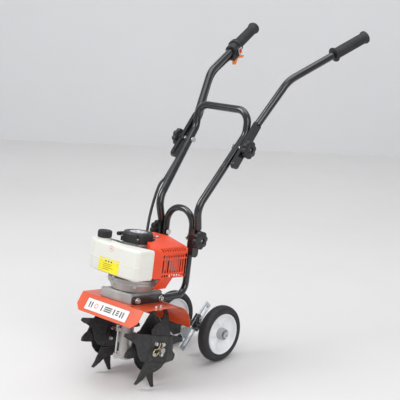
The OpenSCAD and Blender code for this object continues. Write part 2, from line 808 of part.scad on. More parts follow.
module fuel_tank() {
  color("ivory") stance() difference() {
    union() {
      translate([0, 0, tank_z + 3]) linear_extrude(tank_h - 6) tank_plan(0);
      translate([0, 0, tank_z]) linear_extrude(tank_h) tank_plan(3);
      translate([cap_at[0], cap_at[1], tank_z + tank_h - 1]) cylinder(r = 17.5, h = 6.5);
      translate([cap_at[0], cap_at[1], tank_z + tank_h - 1]) cylinder(r = 15, h = 12);
    }
    translate([0, 0, tank_z + 4]) linear_extrude(tank_h - 8) tank_plan(5);
    translate([cap_at[0], cap_at[1], tank_z + tank_h - 6]) cylinder(r = 12, h = 20);
  }
}

module fuel_cap() {
  color("#1c1c1c") stance() translate([cap_at[0], cap_at[1], tank_z + tank_h + 6]) difference() {
    union() {
      cylinder(r = cap_r - 1.5, h = 20);
      for (a = [0 : 22.5 : 350]) rotate([0, 0, a]) translate([cap_r - 2, 0, 0]) cylinder(r = 2, h = 18);
    }
    translate([0, 0, -1]) cylinder(r = 15.3, h = 9);
  }
}

// ---------- frame and handles ----------
// Flattened tube end in the plane of x: from point a to point b, each [y, z]
module flat_bar(a, b, x, width, thick) {
  translate([x - thick / 2, a[0], a[1]]) rotate([atan2(b[1] - a[1], b[0] - a[0]), 0, 0])
    rotate([90, 0, 90]) linear_extrude(thick) {
      translate([0, -width / 2]) square([norm(b - a), width]);
      circle(width / 2);
    }
}

module lower_loop() {
  rail_z = base_z + 11;
  side_x = base_half + 4;
  color("#1a1a1a") stance() difference() {
    union() {
      both_sides() flat_bar([-56, rail_z], [48, rail_z], side_x, 22, 8);
      bent_tube(mirrored_path([[side_x, 48, rail_z], [side_x, 70, rail_z], [loop_x, loop_y, rail_z],
        [loop_x, loop_y, loop_top]]), mirrored_list([0, 40, 36, loop_x - 2]), loop_r, tube_wall);
    }
    both_sides() for (y = [-52, 39]) translate([0, y, rail_z]) rod_x(4.05, base_half - 1, base_half + 10);
    translate([0, loop_y, low_pivot_z]) both_sides() rod_x(bolt_r + run, loop_x - 12, loop_x + 12);
  }
}

module handle_middle() {
  color("#1a1a1a") stand() difference() {
    union() {
      both_sides() flat_bar([mid_foot[1], mid_foot[2]], [mid_neck[1], mid_neck[2]], leg_x, 25, flat_t);
      bent_tube(mirrored_path([mid_neck, mid_bend, mid_top, mid_corner]), mirrored_list([0, 60, 40, 38]),
        handle_r, tube_wall);
    }
    translate([0, low_pivot[0], low_pivot[1]]) both_sides() rod_x(bolt_r + run, leg_x - 10, leg_x + 10);
    translate([0, up_pivot[0], up_pivot[1]]) both_sides() rod_x(bolt_r + run, mid_x - 16, mid_x + 16);
  }
}

module upper_pivot_bolts() {
  color("silver") stand() translate([0, up_pivot[0], up_pivot[1]]) both_sides() {
    rod_x(bolt_r, mid_x - handle_r - 2, bar_x + 25);
    rod_x(8, mid_x - handle_r - 6, mid_x - handle_r - 1.3);
    rod_x(8, mid_x + handle_r + 1, bar_x - flat_t / 2 - 0.3);
  }
}

module handlebar(side) {
  color("#1a1a1a") stand() scale_side(side) difference() {
    union() {
      flat_bar(bar_foot, [bar_neck[1], bar_neck[2]], bar_x, 25, flat_t);
      bent_tube([bar_neck, bar_bend, bar_end], [0, 90, 0], handle_r, tube_wall);
    }
    translate([0, up_pivot[0], up_pivot[1]]) rod_x(bolt_r + run, bar_x - 10, bar_x + 10);
  }
}

// Left side as drawn, right side mirrored
module scale_side(side) {
  if (side < 0) mirror([1, 0, 0]) children();
  else children();
}

module handlebar_left() {
  handlebar(1);
}

module handlebar_right() {
  handlebar(-1);
}

// Star knob along +x, its inner face at x = 0
module star_knob() {
  rotate([0, 90, 0]) difference() {
    union() {
      cylinder(r = 13, h = 4);
      translate([0, 0, 4]) linear_extrude(15) {
        circle(knob_r - 6);
        for (a = [0 : 45 : 315]) rotate(a) translate([knob_r - 7, 0]) circle(7);
      }
      translate([0, 0, 19]) cylinder(r1 = 17, r2 = 12, h = 5);
    }
    translate([0, 0, -1]) cylinder(r = bolt_r + run, h = 30);
    translate([0, 0, 18]) cylinder(r = 6.5, h = 10);
  }
}

module lower_knob(side) {
  color("#222222") stand() scale_side(side)
    translate([leg_x + flat_t / 2 + 0.3, low_pivot[0], low_pivot[1]]) star_knob();
}

module upper_knob(side) {
  color("#222222") stand() scale_side(side)
    translate([bar_x + flat_t / 2 + 0.3, up_pivot[0], up_pivot[1]]) star_knob();
}

module knob_lower_left() {
  lower_knob(1);
}

module knob_lower_right() {
  lower_knob(-1);
}

module knob_upper_left() {
  upper_knob(1);
}

module knob_upper_right() {
  upper_knob(-1);
}

// Rubber grip along +z: inner flange, ribbed sleeve, rounded end flange
module grip_body() {
  difference() {
    rotate_extrude() polygon(concat([[0, 0], [22, 0], [22.5, 2], [22, 4.5], [16.5, 6]],
      [for (i = [0 : 18]) each [[16.5, 8 + i * 6], [15.9, 9.5 + i * 6], [15.9, 11.5 + i * 6],
        [16.5, 13 + i * 6]]], [[17, grip_len - 9], [20, grip_len - 6], [20, grip_len - 1],
        [18, grip_len], [0, grip_len]]));
    translate([0, 0, -1]) cylinder(r = handle_r + 0.05, h = grip_len - 1.9);
  }
}

module grip(side) {
  color("#1c1c1c") stand() scale_side(side) along(grip_start, bar_end) grip_body();
}

module grip_left() {
  grip(1);
}

module grip_right() {
  grip(-1);
}

// Places children at the inner end of the right grip: z along the handlebar, x downwards
module throttle_place() {
  stand() mirror([1, 0, 0]) along(grip_start, bar_end) children();
}

module throttle_housing() {
  color("#1c1c1c") throttle_place() difference() {
    union() {
      translate([0, 0, -42]) cylinder(r = 18, h = 40);
      translate([0, 0, -14]) cylinder(r = 23, h = 12);
      translate([5, -11, -46]) cube([26, 22, 38]);
      translate([-6, 10, -36]) cube([24, 14, 26]);
    }
    translate([0, 0, -50]) cylinder(r = handle_r + 0.02, h = 60);
    // slot for the trigger and pocket for the switch
    translate([14, -5.3, -41]) cube([30, 10.6, 35]);
    translate([-1, 18.5, -31]) cube([14, 8, 16]);
    translate([20, 0, -50]) cylinder(r = cable_r + 0.1, h = 20);
    translate([24, 0, -14]) rotate([90, 0, 0]) cylinder(r = 2.5, h = 30, center = true);
  }
}

// Orange trigger: hub on its pin, body below the housing, blade under the grip
module throttle_trigger() {
  color("orange") throttle_place() {
    translate([24, 0, -14]) rotate([90, 0, 0]) cylinder(r = 2.45, h = 21, center = true);
    translate([18, -5, -36]) cube([12, 10, 26]);
    translate([24, 5, -30]) rotate([90, 0, 0]) linear_extrude(10)
      polygon([[0, 2], [24, -8], [28, -2], [16, 22], [0, 22]]);
    translate([32, 5, -12]) rotate([90, 0, 0]) linear_extrude(10)
      polygon([[0, 0], [6, -2], [22, 36], [19, 44], [14, 38]]);
  }
}

module kill_switch() {
  color("red") throttle_place() translate([6, 22, -23]) {
    rotate([0, 90, 0]) cylinder(r = 2, h = 11, center = true);
    difference() {
      translate([-5.5, -1, -6.5]) cube([11, 6, 13]);
      translate([-7, 3, 0]) rotate([12, 0, 0]) cube([14, 4, 12]);
    }
  }
}

// ---------- throttle cable ----------
module cable_upper() {
  color("#1c1c1c") stand() bent_tube([for (p = cable_points_upper) [-p[0], p[1], p[2]]],
    [0, 60, 73, 60, 0], cable_r);
}

module cable_middle() {
  color("#1c1c1c") stand() bent_tube([for (p = cable_points_middle) [-p[0], p[1], p[2]]],
    [0, 60, 60, 0], cable_r);
}

module cable_lower() {
  color("#1c1c1c") stand() bent_tube([for (p = cable_points_lower) [-p[0], p[1], p[2]]],
    [0, 40, 30, 0], cable_r);
}

// ---------- wheels ----------
// Places children in the plane of the adjuster bar: y along the bar from its lower end
module on_bar() {
  stand() translate([0, adjust_low[0], adjust_low[1]]) rotate([adjust_angle, 0, 0]) children();
}

module tail_bracket() {
  color("#1a1a1a") stand() difference() {
    union() {
      translate([0, 0, axle_z]) rotate([-tilt, 0, 0]) {
        translate([-20, 62.1, base_z + 2]) cube([40, 5, 24]);
        plate_x(-adjust_t / 2 - 5.2, 5) polygon([[66, base_z + 24], [66, base_z + 4], [120, 40],
          [182, -10], [226, -8], [232, 22], [196, 32], [140, 66]]);
      }
    }
    translate([0, bracket_bolt[0], bracket_bolt[1]]) rod_x(4.05, -20, 20);
    translate([0, 0, axle_z]) rotate([-tilt, 0, 0]) {
      translate([0, stake_hole[0], stake_hole[1]]) rod_x(stake_hole_r, -20, 20);
      translate([0, curve_mid[0], curve_mid[1]]) rod_x(fender_r + 0.4, -30, 30);
    }
  }
}

module adjuster_bar() {
  color("lightsteelblue") difference() {
    union() {
      on_bar() plate_x(-adjust_t / 2, adjust_t) translate([0, -adjust_w / 2])
        square([adjust_len, adjust_w]);
      stand() plate_x(-adjust_t / 2, adjust_t) polygon([[204, 96], [203, 74], [232, 40], [262, 66],
        [226, 98]]);
    }
    on_bar() bar_slot();
    stand() translate([0, bracket_bolt[0], bracket_bolt[1]]) rod_x(4.05, -20, 20);
  }
}

// Long slot that the wheel axle and the clamp bolt slide in
module bar_slot() {
  plate_x(-10, 20) {
    translate([16, -slot_half]) square([adjust_len - 32, 2 * slot_half]);
    translate([16, 0]) circle(slot_half);
    translate([adjust_len - 16, 0]) circle(slot_half);
  }
}

// Saddle: two cheeks with the axle's tubes, clamped on the bar by a bolt and nut
module wheel_saddle() {
  color("#2a2a2a") carriage() difference() {
    union() {
      both_sides() {
        translate([adjust_t / 2 + 0.3, -13, -16.5]) cube([5, 44, 33]);
        rod_x(11, adjust_t / 2 + 5.2, 58);
      }
      translate([-adjust_t / 2 - 1, -13, -16.5]) cube([adjust_t + 2, 44, 3.5]);
    }
    rod_x(wheel_axle_r + run, -70, 70);
    translate([0, 22, 0]) rod_x(4.05, -20, 20);
  }
}

module carriage() {
  stand() translate([0, wheel_y, wheel_z]) rotate([adjust_angle, 0, 0]) children();
}

module wheel_axle() {
  color("silver") carriage() rod_x(wheel_axle_r, -124, 124);
}

module axle_nuts() {
  color("silver") carriage() both_sides() {
    difference() {
      rod_x(9, 116.2, 117.8);
      rod_x(wheel_axle_r, 110, 130);
    }
    difference() {
      translate([117.8, 0, 0]) rotate([0, 90, 0]) cylinder(d = 19.6, h = 5, $fn = 6);
      rod_x(wheel_axle_r, 110, 130);
    }
    difference() {
      rod_x(8, 58.1, 77.5);
      rod_x(wheel_axle_r, 50, 130);
    }
  }
  color("silver") carriage() translate([0, 22, 0]) {
    rod_x(4, -14, 14);
    translate([adjust_t / 2 + 5.3, 0, 0]) rotate([0, 90, 0]) hex_bolt(13, 6, 9);
    translate([-adjust_t / 2 - 5.3, 0, 0]) rotate([0, -90, 0]) hex_bolt(13, 6, 9);
  }
}

// Wheel axis is x; the outer face of the tyre is at tyre_x
module on_axle(side) {
  stand() translate([0, wheel_y, wheel_z]) scale_side(side) children();
}

module tyre(side) {
  half = tyre_w / 2;
  color("#1c1c1c") on_axle(side) translate([tyre_x - half, 0, 0]) rotate([0, 90, 0]) rotate_extrude()
    polygon([[rim_r - 1, -half + 4], [rim_r + 4, -half + 1], [rim_r + 11, -half], [tyre_r - 5, -half + 3],
      [tyre_r - 1.2, -half + 8], [tyre_r, -half + 13], [tyre_r, half - 13], [tyre_r - 1.2, half - 8],
      [tyre_r - 5, half - 3], [rim_r + 11, half], [rim_r + 4, half - 1], [rim_r - 1, half - 4]]);
}

module rim(side) {
  color("white") on_axle(side) difference() {
    union() {
      translate([tyre_x - tyre_w / 2, 0, 0]) rotate([0, 90, 0]) rotate_extrude()
        polygon([[rim_r - 5, -14], [rim_r - 1, -12.5], [rim_r - 1, 12.5], [rim_r - 2, 15.5],
          [rim_r - 5, 15.5], [rim_r - 7, 3], [30, -2], [17, 2], [17, -4], [30, -7], [rim_r - 7, -4]]);
      rod_x(17.5, 78, 115.8);
    }
    rod_x(wheel_axle_r + 0.08, 60, 130);
    rod_x(12, 112.8, 120);
  }
}

module tyre_left() {
  tyre(1);
}

module rim_left() {
  rim(1);
}

module tyre_right() {
  tyre(-1);
}

module rim_right() {
  rim(-1);
}

base_block();
chassis_bolts();
fender();
gear_case();
gearbox_bearings();
worm_shaft();
clutch_drum();
worm_wheel();
tine_axle();
tine_hubs();
tine_left();
tine_right();
tine_bolts();
hairpin_clips();
clutch_housing();
crankcase();
crankshaft();
clutch_shoes();
flywheel();
cylinder_block();  // cylinder
piston();
spark_plug_boot();
muffler();
cylinder_cover();
carburetor();
air_filter_box();
air_filter_cover();
choke_lever();
starter_housing();
starter_pulley();
starter_grip();
engine_screws();
fuel_tank();
fuel_cap();
lower_loop();
knob_lower_left();
knob_lower_right();
handle_middle();
upper_pivot_bolts();
knob_upper_left();
knob_upper_right();
handlebar_left();
handlebar_right();
grip_left();
grip_right();
throttle_housing();
throttle_trigger();
kill_switch();
cable_lower();
cable_middle();
cable_upper();
tail_bracket();
adjuster_bar();
wheel_saddle();
wheel_axle();
axle_nuts();
tyre_left();
rim_left();
tyre_right();
rim_right();
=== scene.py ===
"""Looks of the mini cultivator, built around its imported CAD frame."""
import json
import math

import bmesh
import bpy
from mathutils import Matrix, Vector


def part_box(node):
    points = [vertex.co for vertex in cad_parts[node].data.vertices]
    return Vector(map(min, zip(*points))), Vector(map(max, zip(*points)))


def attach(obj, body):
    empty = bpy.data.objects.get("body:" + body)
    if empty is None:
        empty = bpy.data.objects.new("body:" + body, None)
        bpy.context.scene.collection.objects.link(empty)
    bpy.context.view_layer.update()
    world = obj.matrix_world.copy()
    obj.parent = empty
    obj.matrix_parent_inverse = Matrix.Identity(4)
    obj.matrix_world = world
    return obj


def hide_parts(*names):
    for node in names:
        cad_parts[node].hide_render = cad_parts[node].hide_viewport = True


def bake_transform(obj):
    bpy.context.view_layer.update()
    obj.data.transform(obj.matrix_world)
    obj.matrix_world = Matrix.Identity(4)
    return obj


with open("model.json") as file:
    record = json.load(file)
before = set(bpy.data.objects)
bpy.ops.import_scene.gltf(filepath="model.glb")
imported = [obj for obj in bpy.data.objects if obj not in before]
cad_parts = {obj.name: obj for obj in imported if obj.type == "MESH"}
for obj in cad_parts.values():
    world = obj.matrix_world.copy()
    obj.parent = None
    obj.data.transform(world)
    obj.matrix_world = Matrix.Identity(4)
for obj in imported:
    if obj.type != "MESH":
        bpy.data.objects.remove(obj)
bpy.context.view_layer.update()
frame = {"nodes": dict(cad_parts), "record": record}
NODES = frame["nodes"]
RECORD = frame["record"]
BODY_OF = {n: b for b, ns in RECORD["behaviour"]["bodies"].items() for n in ns}
SLOT_OF = {s["node"]: s["material_slot"] for s in RECORD["subparts"]}
JOINTS = {j["name"]: j for j in RECORD["behaviour"]["joints"]}
MM = 0.001

# Two sets of axes in millimetres. GROUND stands on the floor below the tine axle. STANCE starts at the
# tine axle and leans back with the engine and gearbox. Sizes below are in one or the other.
TILT = math.radians(8.57)
AXLE = Vector(JOINTS["tine_spin"]["pos_m"])
GROUND = Matrix.Translation((0, AXLE.y, 0)) @ Matrix.Scale(MM, 4)
STANCE = Matrix.Translation(AXLE) @ Matrix.Rotation(-TILT, 4, "X") @ Matrix.Scale(MM, 4)
SHAFT_Y = -16  # the engine's upright shaft line, in STANCE

# Camera fitted to the machine: direction in degrees, distance in metres, lens in millimetres
VIEW_AZIMUTH, VIEW_HEIGHT, VIEW_ROLL = 42.08, 13.57, 1.14
VIEW_DISTANCE, VIEW_LENS = 2.823, 92.97
VIEW_TARGET = Vector((116.2, 150, 506.6))  # in GROUND


# ---------- camera ----------
def camera():
    az, el, roll = (math.radians(a) for a in (VIEW_AZIMUTH, VIEW_HEIGHT, VIEW_ROLL))
    back = Vector((math.sin(az) * math.cos(el), -math.cos(az) * math.cos(el), math.sin(el)))
    right = Vector((math.cos(az), math.sin(az), 0))
    up = back.cross(right)
    right2 = right * math.cos(roll) + up * math.sin(roll)
    up2 = up * math.cos(roll) - right * math.sin(roll)
    target = VIEW_TARGET * MM + Vector((0, AXLE.y, 0))
    m = Matrix((right2, up2, back)).transposed().to_4x4()
    m.translation = target + back * VIEW_DISTANCE
    data = bpy.data.cameras.new("camera")
    data.lens = VIEW_LENS
    data.sensor_width = 36
    data.clip_end = 60
    cam = bpy.data.objects.new("camera", data)
    bpy.context.collection.objects.link(cam)
    cam.matrix_world = m
    bpy.context.scene.camera = cam


# ---------- materials ----------
def node_setup(name):
    """New material with its tree, main shader and object coordinates."""
    m = bpy.data.materials.new(name)
    m.use_nodes = True
    tree = m.node_tree
    bsdf = tree.nodes["Principled BSDF"]
    coord = tree.nodes.new("ShaderNodeTexCoord")
    return m, tree, bsdf, coord.outputs["Object"]


def noise(tree, vector, scale, detail=4.0, rough=0.55):
    n = tree.nodes.new("ShaderNodeTexNoise")
    n.inputs["Scale"].default_value = scale
    n.inputs["Detail"].default_value = detail
    n.inputs["Roughness"].default_value = rough
    tree.links.new(vector, n.inputs["Vector"])
    return n.outputs["Fac"]


def ramp(tree, fac, stops):
    """Colour from a value, through stops of (place, colour)."""
    r = tree.nodes.new("ShaderNodeValToRGB")
    while len(r.color_ramp.elements) < len(stops):
        r.color_ramp.elements.new(0.5)
    for e, (at, colour) in zip(r.color_ramp.elements, stops):
        e.position = at
        e.color = (*colour, 1)
    tree.links.new(fac, r.inputs["Fac"])
    return r.outputs["Color"]


def spread(tree, fac, low, high):
    """The middle of a noise's range stretched to run from low to high."""
    r = tree.nodes.new("ShaderNodeMapRange")
    r.inputs["From Min"].default_value = 0.3
    r.inputs["From Max"].default_value = 0.7
    r.inputs["To Min"].default_value = low
    r.inputs["To Max"].default_value = high
    tree.links.new(fac, r.inputs["Value"])
    return r.outputs["Result"]


def bump(tree, bsdf, height, strength, distance):
    b = tree.nodes.new("ShaderNodeBump")
    b.inputs["Strength"].default_value = strength
    b.inputs["Distance"].default_value = distance
    tree.links.new(height, b.inputs["Height"])
    tree.links.new(b.outputs["Normal"], bsdf.inputs["Normal"])


def mix(tree, fac, a, b):
    m = tree.nodes.new("ShaderNodeMix")
    m.data_type = "RGBA"
    tree.links.new(fac, m.inputs["Factor"])
    tree.links.new(a, m.inputs[6])
    tree.links.new(b, m.inputs[7])
    return m.outputs[2]


def finish(name, colour, dark=0.85, light=1.1, metal=0.0, rough=(0.3, 0.45), patch=12, grain=600,
           grain_strength=0.15, grain_depth=0.0002, worn=None, **sockets):
    """A surface with soft colour patches and fine grain, and with worn edges where a colour for
    them is given. dark and light bound the patches; patch and grain are noise scales."""
    m, tree, bsdf, coord = node_setup(name)
    patches = noise(tree, coord, patch)
    fine = noise(tree, coord, grain, 2.0)
    low = tuple(min(1, c * dark) for c in colour)
    high = tuple(min(1, c * light) for c in colour)
    base = ramp(tree, patches, [(0.3, low), (0.7, high)])
    if worn:
        geo = tree.nodes.new("ShaderNodeNewGeometry")
        scratch = noise(tree, coord, 90, 6.0, 0.7)
        mask = tree.nodes.new("ShaderNodeMath")
        mask.operation = "MULTIPLY"
        tree.links.new(spread(tree, geo.outputs["Pointiness"], -0.6, 1.4), mask.inputs[0])
        tree.links.new(spread(tree, scratch, -0.6, 0.9), mask.inputs[1])
        mask.use_clamp = True
        base = mix(tree, mask.outputs[0], base, ramp(tree, fine, [(0.3, worn), (0.7, worn)]))
    tree.links.new(base, bsdf.inputs["Base Color"])
    tree.links.new(spread(tree, noise(tree, coord, patch * 5, 5.0), *rough), bsdf.inputs["Roughness"])
    bump(tree, bsdf, fine, grain_strength, grain_depth)
    bsdf.inputs["Metallic"].default_value = metal
    for socket, value in sockets.items():
        bsdf.inputs[socket.replace("_", " ")].default_value = value
    return m


def machined(name, colour, rough, streak=(4, 160, 160)):
    """Turned or drawn steel: fine streaks round the part."""
    m, tree, bsdf, coord = node_setup(name)
    mapping = tree.nodes.new("ShaderNodeMapping")
    mapping.inputs["Scale"].default_value = streak
    tree.links.new(coord, mapping.inputs["Vector"])
    lines = noise(tree, mapping.outputs["Vector"], 6, 6.0)
    tone = ramp(tree, lines, [(0.3, tuple(c * 0.75 for c in colour)), (0.7, colour)])
    tree.links.new(tone, bsdf.inputs["Base Color"])
    tree.links.new(spread(tree, lines, *rough), bsdf.inputs["Roughness"])
    bump(tree, bsdf, lines, 0.12, 0.0002)
    bsdf.inputs["Metallic"].default_value = 1.0
    return m


def make_materials():
    """One material for each material slot of the record."""
    coat = {"Coat_Weight": 0.35, "Coat_Roughness": 0.18}
    out = {
        "cast_grey": finish("cast_grey", (0.5, 0.49, 0.47), 0.78, 1.1, 0.55, (0.42, 0.58), 18, 900,
                            0.5, 0.0004),
        "zinc_bolts": finish("zinc_bolts", (0.74, 0.74, 0.72), 0.8, 1.05, 1.0, (0.22, 0.36), 60, 900, 0.1),
        "orange_paint": finish("orange_paint", (0.8, 0.085, 0.012), 0.9, 1.05, 0.0, (0.26, 0.38), 10, 700,
                               0.12, 0.0003, worn=(0.55, 0.14, 0.07), **coat),
        "bearing_bronze": machined("bearing_bronze", (0.62, 0.42, 0.2), (0.25, 0.4)),
        "machined_steel": machined("machined_steel", (0.55, 0.55, 0.54), (0.25, 0.42)),
        "tine_black": finish("tine_black", (0.013, 0.013, 0.014), 0.6, 1.6, 0.0, (0.34, 0.52), 14, 500,
                             0.25, 0.0003, worn=(0.09, 0.085, 0.08)),
        "yellow_zinc": finish("yellow_zinc", (0.74, 0.62, 0.36), 0.8, 1.1, 1.0, (0.2, 0.35), 50, 800, 0.1),
        "cast_alloy": finish("cast_alloy", (0.6, 0.6, 0.6), 0.8, 1.05, 0.9, (0.34, 0.5), 25, 900,
                             0.35, 0.0003),
        "clutch_lining": finish("clutch_lining", (0.12, 0.1, 0.085), 0.7, 1.3, 0.3, (0.6, 0.8), 40, 900,
                                0.5),
        "black_rubber": finish("black_rubber", (0.018, 0.018, 0.019), 0.7, 1.3, 0, (0.5, 0.65), 20, 900,
                               0.2),
        "muffler_steel": machined("muffler_steel", (0.66, 0.66, 0.64), (0.28, 0.42), (60, 60, 6)),
        "orange_plastic": finish("orange_plastic", (0.82, 0.062, 0.008), 0.92, 1.05, 0, (0.3, 0.42), 9,
                                 1400, 0.1, 0.0002, Coat_Weight=0.2, Coat_Roughness=0.25),
        "black_plastic": finish("black_plastic", (0.016, 0.016, 0.017), 0.7, 1.4, 0, (0.42, 0.56), 16, 1500,
                                0.3, 0.0002),
        "white_plastic": finish("white_plastic", (0.78, 0.77, 0.72), 0.95, 1.03, 0, (0.38, 0.5), 12, 1200,
                                0.1),
        "tank_plastic": finish("tank_plastic", (0.76, 0.76, 0.7), 0.94, 1.06, 0, (0.3, 0.42), 9, 260, 0.1,
                               0.0006, Subsurface_Weight=0.15, Subsurface_Scale=0.02),
        "black_paint": finish("black_paint", (0.011, 0.011, 0.012), 0.7, 1.4, 0, (0.14, 0.26), 12, 300,
                              0.06, 0.0003, Coat_Weight=0.5, Coat_Roughness=0.08),
        "knob_plastic": finish("knob_plastic", (0.015, 0.015, 0.016), 0.7, 1.5, 0, (0.36, 0.5), 18, 1300,
                               0.25),
        "grip_rubber": finish("grip_rubber", (0.02, 0.02, 0.021), 0.7, 1.4, 0, (0.5, 0.68), 25, 1500, 0.3),
        "trigger_orange": finish("trigger_orange", (0.95, 0.24, 0.015), 0.93, 1.05, 0, (0.28, 0.4), 30, 900,
                                 0.08),
        "switch_red": finish("switch_red", (0.75, 0.02, 0.012), 0.9, 1.08, 0, (0.28, 0.38), 60, 900, 0.08),
        "cable_sleeve": finish("cable_sleeve", (0.014, 0.014, 0.015), 0.7, 1.4, 0, (0.4, 0.52), 30, 900,
                               0.15),
        "zinc_plate": finish("zinc_plate", (0.63, 0.67, 0.7), 0.78, 1.08, 1.0, (0.26, 0.44), 22, 500, 0.15),
        "tyre_rubber": finish("tyre_rubber", (0.017, 0.017, 0.018), 0.75, 1.5, 0, (0.5, 0.68), 14, 900,
                              0.3, 0.0003),
        "white_rim": finish("white_rim", (0.84, 0.85, 0.86), 0.95, 1.04, 0, (0.26, 0.38), 10, 700, 0.08),
    }
    return out


MATS = make_materials()


# ---------- mesh helpers ----------
def shade(me, angle=35):
    """Smooth shading, with edges sharper than the angle kept crisp."""
    bm = bmesh.new()
    bm.from_mesh(me)
    bmesh.ops.recalc_face_normals(bm, faces=bm.faces)
    limit = math.radians(angle)
    for f in bm.faces:
        f.smooth = True
    for e in bm.edges:
        e.smooth = not (len(e.link_faces) == 2 and e.calc_face_angle(0) > limit)
    bm.to_mesh(me)
    bm.free()


def piece(name, bm, matrix, slot, body, replaces=(), angle=35, material=None):
    """Object made from a mesh in the axes of matrix, riding on a body; replaces names CAD nodes."""
    me = bpy.data.meshes.new(name)
    bm.transform(matrix)
    bm.to_mesh(me)
    bm.free()
    shade(me, angle)
    o = bpy.data.objects.new(name, me)
    bpy.context.collection.objects.link(o)
    me.materials.append(material or MATS[slot])
    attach(o, body)
    if replaces:
        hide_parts(*replaces)
    return o


def add_bevel(o, width):
    b = o.modifiers.new("edges", "BEVEL")
    b.width = width
    b.segments = 2
    b.limit_method = "ANGLE"
    b.angle_limit = math.radians(38)
    b.use_clamp_overlap = False
    b.harden_normals = False


def lathe(profile, n=96, change=None, closed=False):
    """Surface of revolution about z from (radius, z) points; change(angle, r, z) may move a point.
    A closed profile makes a ring."""
    bm = bmesh.new()
    rings = []
    for i in range(n):
        a = 2 * math.pi * i / n
        ring = []
        for r, z in profile:
            rr, zz = change(a, r, z) if change else (r, z)
            ring.append(bm.verts.new((rr * math.cos(a), rr * math.sin(a), zz)))
        rings.append(ring)
    count = len(profile)
    for i in range(n):
        a, b = rings[i], rings[(i + 1) % n]
        for k in range(count if closed else count - 1):
            k2 = (k + 1) % count
            bm.faces.new((a[k], b[k], b[k2], a[k2]))
    bmesh.ops.remove_doubles(bm, verts=bm.verts, dist=1e-4)
    return bm


def rounded(points, radius, steps=5):
    """Outline with its corners rounded; radius is one number or one for each corner."""
    out = []
    n = len(points)
    for i, p in enumerate(points):
        p = Vector(p)
        a, b = Vector(points[i - 1]), Vector(points[(i + 1) % n])
        u, v = (a - p).normalized(), (b - p).normalized()
        r = radius[i] if hasattr(radius, "__len__") else radius
        if r <= 0:
            out.append(p)
            continue
        half = math.acos(max(-1, min(1, u.dot(v)))) / 2
        cut = min(r / math.tan(half), 0.45 * (a - p).length, 0.45 * (b - p).length)
        for k in range(steps + 1):
            t = k / steps
            out.append((p + u * cut) * (1 - t) ** 2 + p * 2 * t * (1 - t) + (p + v * cut) * t ** 2)
    return out


def inset_outline(points, d):
    """Outline (anticlockwise) moved inwards by d."""
    out = []
    n = len(points)
    for i in range(n):
        p, a, b = points[i], points[i - 1], points[(i + 1) % n]
        e1, e2 = (p - a).normalized(), (b - p).normalized()
        n1, n2 = Vector((-e1.y, e1.x)), Vector((-e2.y, e2.x))
        m = (n1 + n2).normalized()
        out.append(p + m * d / max(0.5, m.dot(n1)))
    return out


def stack(outline, levels):
    """Solid lofted from one outline at levels of (z, inset)."""
    bm = bmesh.new()
    rings = [[bm.verts.new((p.x, p.y, z)) for p in inset_outline(outline, d)] for z, d in levels]
    n = len(outline)
    for a, b in zip(rings, rings[1:]):
        for i in range(n):
            bm.faces.new((a[i], a[(i + 1) % n], b[(i + 1) % n], b[i]))
    bm.faces.new(rings[0][::-1])
    bm.faces.new(rings[-1])
    return bm


def quarter(radius, z, sign, steps=5):
    """Levels round an edge: sign -1 for the lower edge, 1 for the upper."""
    out = []
    for k in range(steps + 1):
        a = math.pi / 2 * k / steps
        out.append((z + sign * (radius * math.sin(a) - radius), radius - radius * math.cos(a)))
    return out if sign > 0 else out[::-1]


def slab(outline, z0, z1, edge=0.4, steps=2):
    """Flat piece between two heights, with its edges rounded."""
    return stack(outline, quarter(edge, z0, -1, steps) + quarter(edge, z1, 1, steps))


def tube(points, radius, n=20, smooth=12):
    """Round tube along a smooth curve through the points."""
    path = []
    pts = [Vector(p) for p in points]
    ext = [pts[0] * 2 - pts[1]] + pts + [pts[-1] * 2 - pts[-2]]
    for i in range(1, len(ext) - 2):
        p0, p1, p2, p3 = ext[i - 1:i + 3]
        for k in range(smooth):
            t = k / smooth
            path.append(0.5 * (2 * p1 + (p2 - p0) * t + (2 * p0 - 5 * p1 + 4 * p2 - p3) * t * t
                               + (3 * p1 - p0 - 3 * p2 + p3) * t ** 3))
    path.append(pts[-1])
    bm = bmesh.new()
    rings = []
    side = None
    for i, p in enumerate(path):
        d = (path[min(i + 1, len(path) - 1)] - path[max(i - 1, 0)]).normalized()
        side = d.orthogonal().normalized() if side is None else (side - d * side.dot(d)).normalized()
        other = d.cross(side)
        turns = [2 * math.pi * k / n for k in range(n)]
        rings.append([bm.verts.new(p + (side * math.cos(a) + other * math.sin(a)) * radius) for a in turns])
    for a, b in zip(rings, rings[1:]):
        for k in range(n):
            bm.faces.new((a[k], a[(k + 1) % n], b[(k + 1) % n], b[k]))
    bm.faces.new(rings[0][::-1])
    bm.faces.new(rings[-1])
    return bm


def merge(*parts):
    """One mesh from several."""
    out = bmesh.new()
    for bm in parts:
        me = bpy.data.meshes.new("part")
        bm.to_mesh(me)
        bm.free()
        out.from_mesh(me)
        bpy.data.meshes.remove(me)
    return out


def aim(origin, direction, towards=(0, 0, 1)):
    """Matrix whose z axis runs along a direction, with x near another."""
    z = Vector(direction).normalized()
    y = z.cross(Vector(towards)).normalized()
    x = y.cross(z)
    m = Matrix((x, y, z)).transposed().to_4x4()
    m.translation = Vector(origin)
    return m


